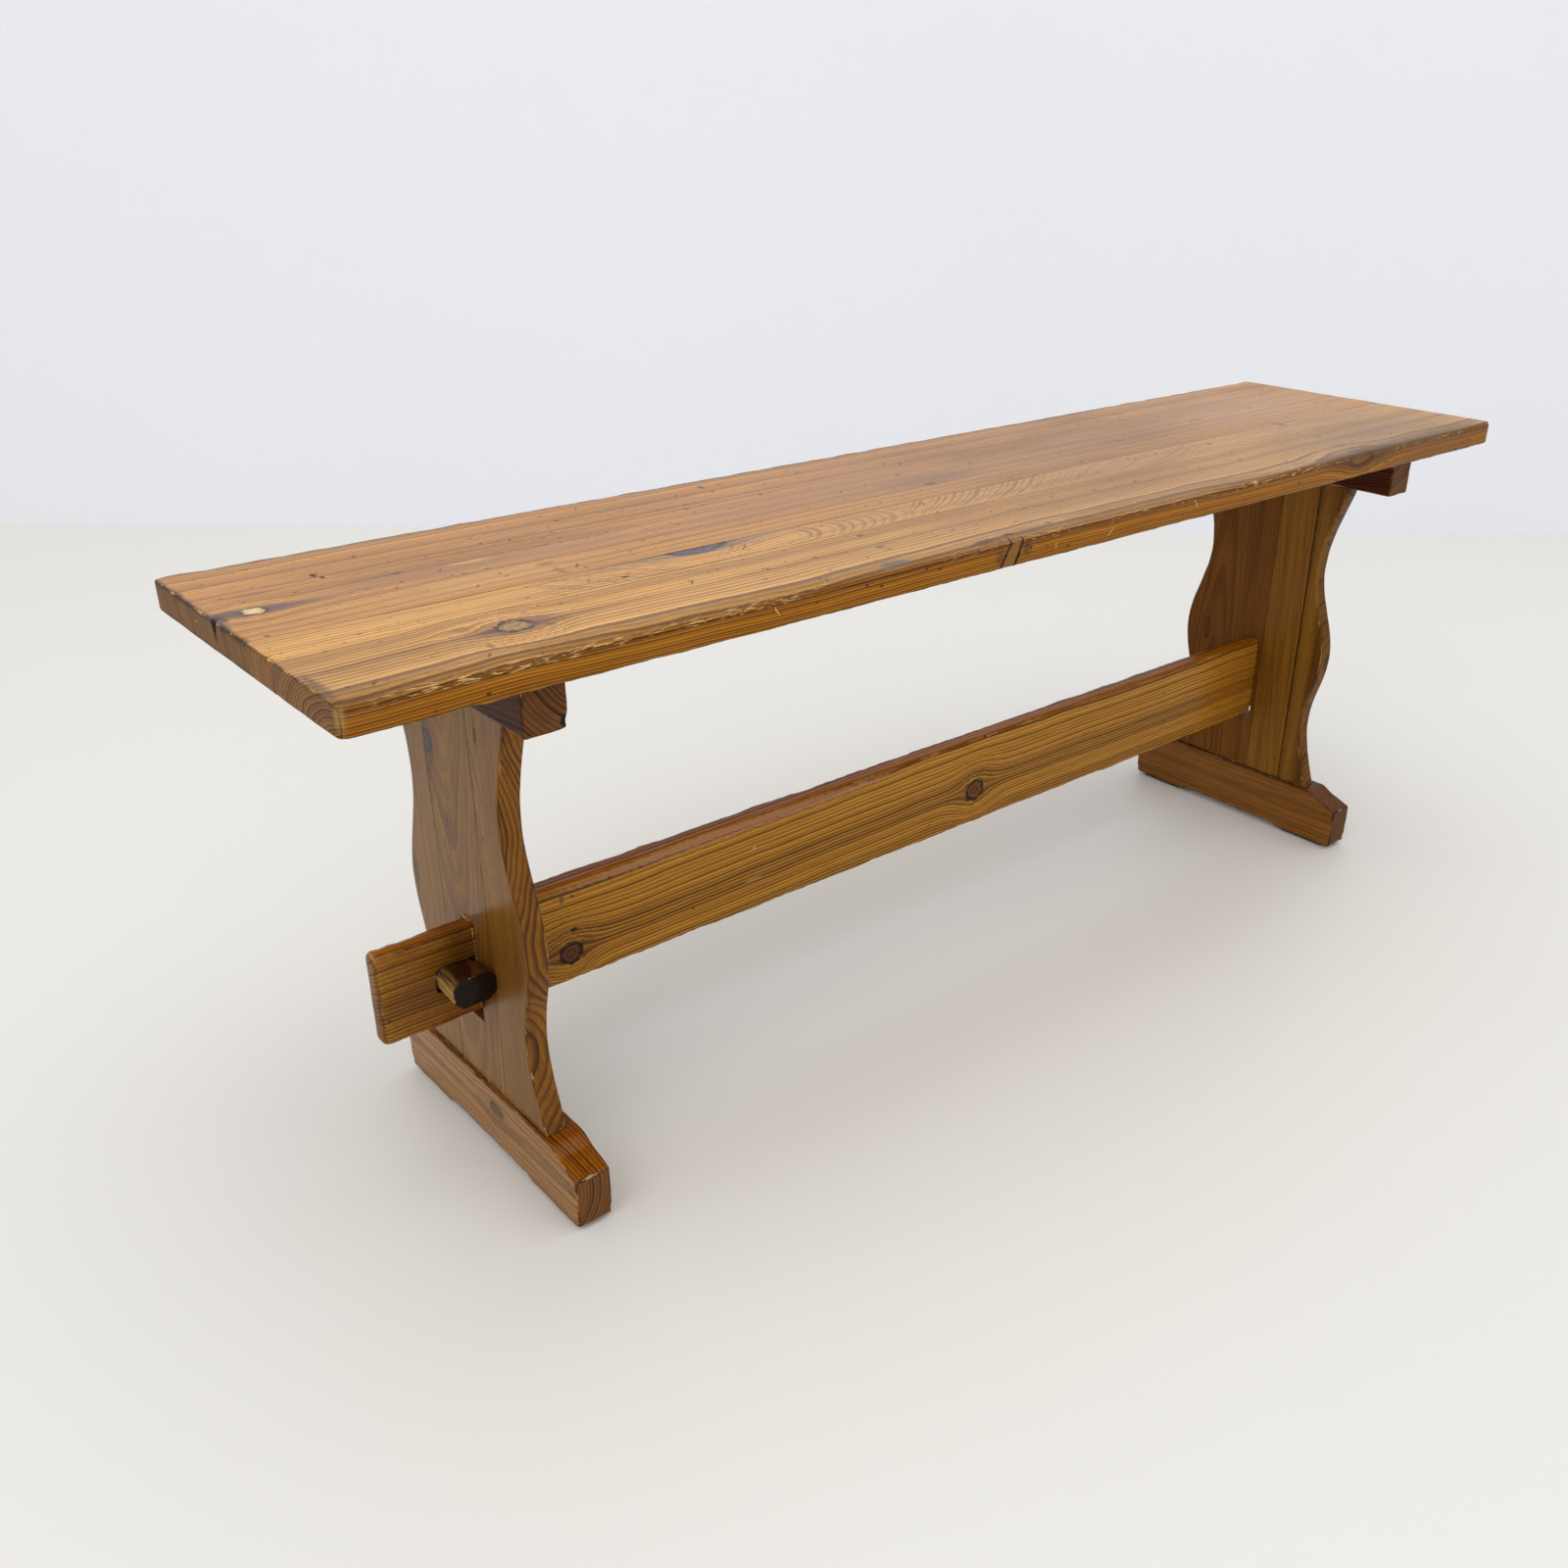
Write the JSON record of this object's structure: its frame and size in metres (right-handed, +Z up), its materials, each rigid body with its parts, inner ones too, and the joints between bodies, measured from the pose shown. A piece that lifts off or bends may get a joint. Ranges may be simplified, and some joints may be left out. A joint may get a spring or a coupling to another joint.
{
  "type": "farmhouse bench",
  "caption": "Pine plank bench on two wavy-edged trestles with sledge feet, tied by a long stretcher whose through tenons are held by removable tapered keys.",
  "frame": {"origin": "on the floor below the middle of the seat", "axes": "X along the bench, left trestle at -X; -Y is the front, where the keys are pulled out; +Z up"},
  "size_m": [1.232, 0.3, 0.45],
  "materials": {
    "seat_pine": "worn clear varnish over honey-coloured pine",
    "trestle_pine": "glossy clear varnish over aged pine",
    "stretcher_pine": "glossy clear varnish over amber pine",
    "key_pine": "bare whittled pine, darkened",
    "dowel_wood": "bare turned wood",
    "pad_felt": "black pressed felt",
    "screw_steel": "dull steel"
  },
  "bodies": {
    "bench": {"seat_board_front": "seat_pine", "seat_board_middle": "seat_pine", "seat_board_back": "seat_pine", "stretcher": "stretcher_pine", "left_stave_front": "trestle_pine", "left_stave_middle": "trestle_pine", "left_stave_back": "trestle_pine", "left_foot": "trestle_pine", "left_cleat": "trestle_pine", "left_pad_front": "pad_felt", "left_pad_back": "pad_felt", "left_screw_front": "screw_steel", "left_screw_back": "screw_steel", "left_foot_dowel_front": "dowel_wood", "left_foot_dowel_back": "dowel_wood", "left_head_dowel_front": "dowel_wood", "left_head_dowel_back": "dowel_wood", "right_stave_front": "trestle_pine", "right_stave_middle": "trestle_pine", "right_stave_back": "trestle_pine", "right_foot": "trestle_pine", "right_cleat": "trestle_pine", "right_pad_front": "pad_felt", "right_pad_back": "pad_felt", "right_screw_front": "screw_steel", "right_screw_back": "screw_steel", "right_foot_dowel_front": "dowel_wood", "right_foot_dowel_back": "dowel_wood", "right_head_dowel_front": "dowel_wood", "right_head_dowel_back": "dowel_wood"},
    "left_key": {"left_key": "key_pine"},
    "right_key": {"right_key": "key_pine"}
  },
  "joints": [
    {"name": "left_key_pull", "type": "slide", "parent": "bench", "child": "left_key", "axis": [0, -1, 0], "range_m": [0, 0.08]},
    {"name": "right_key_pull", "type": "slide", "parent": "bench", "child": "right_key", "axis": [0, -1, 0], "range_m": [0, 0.08]}
  ]
}
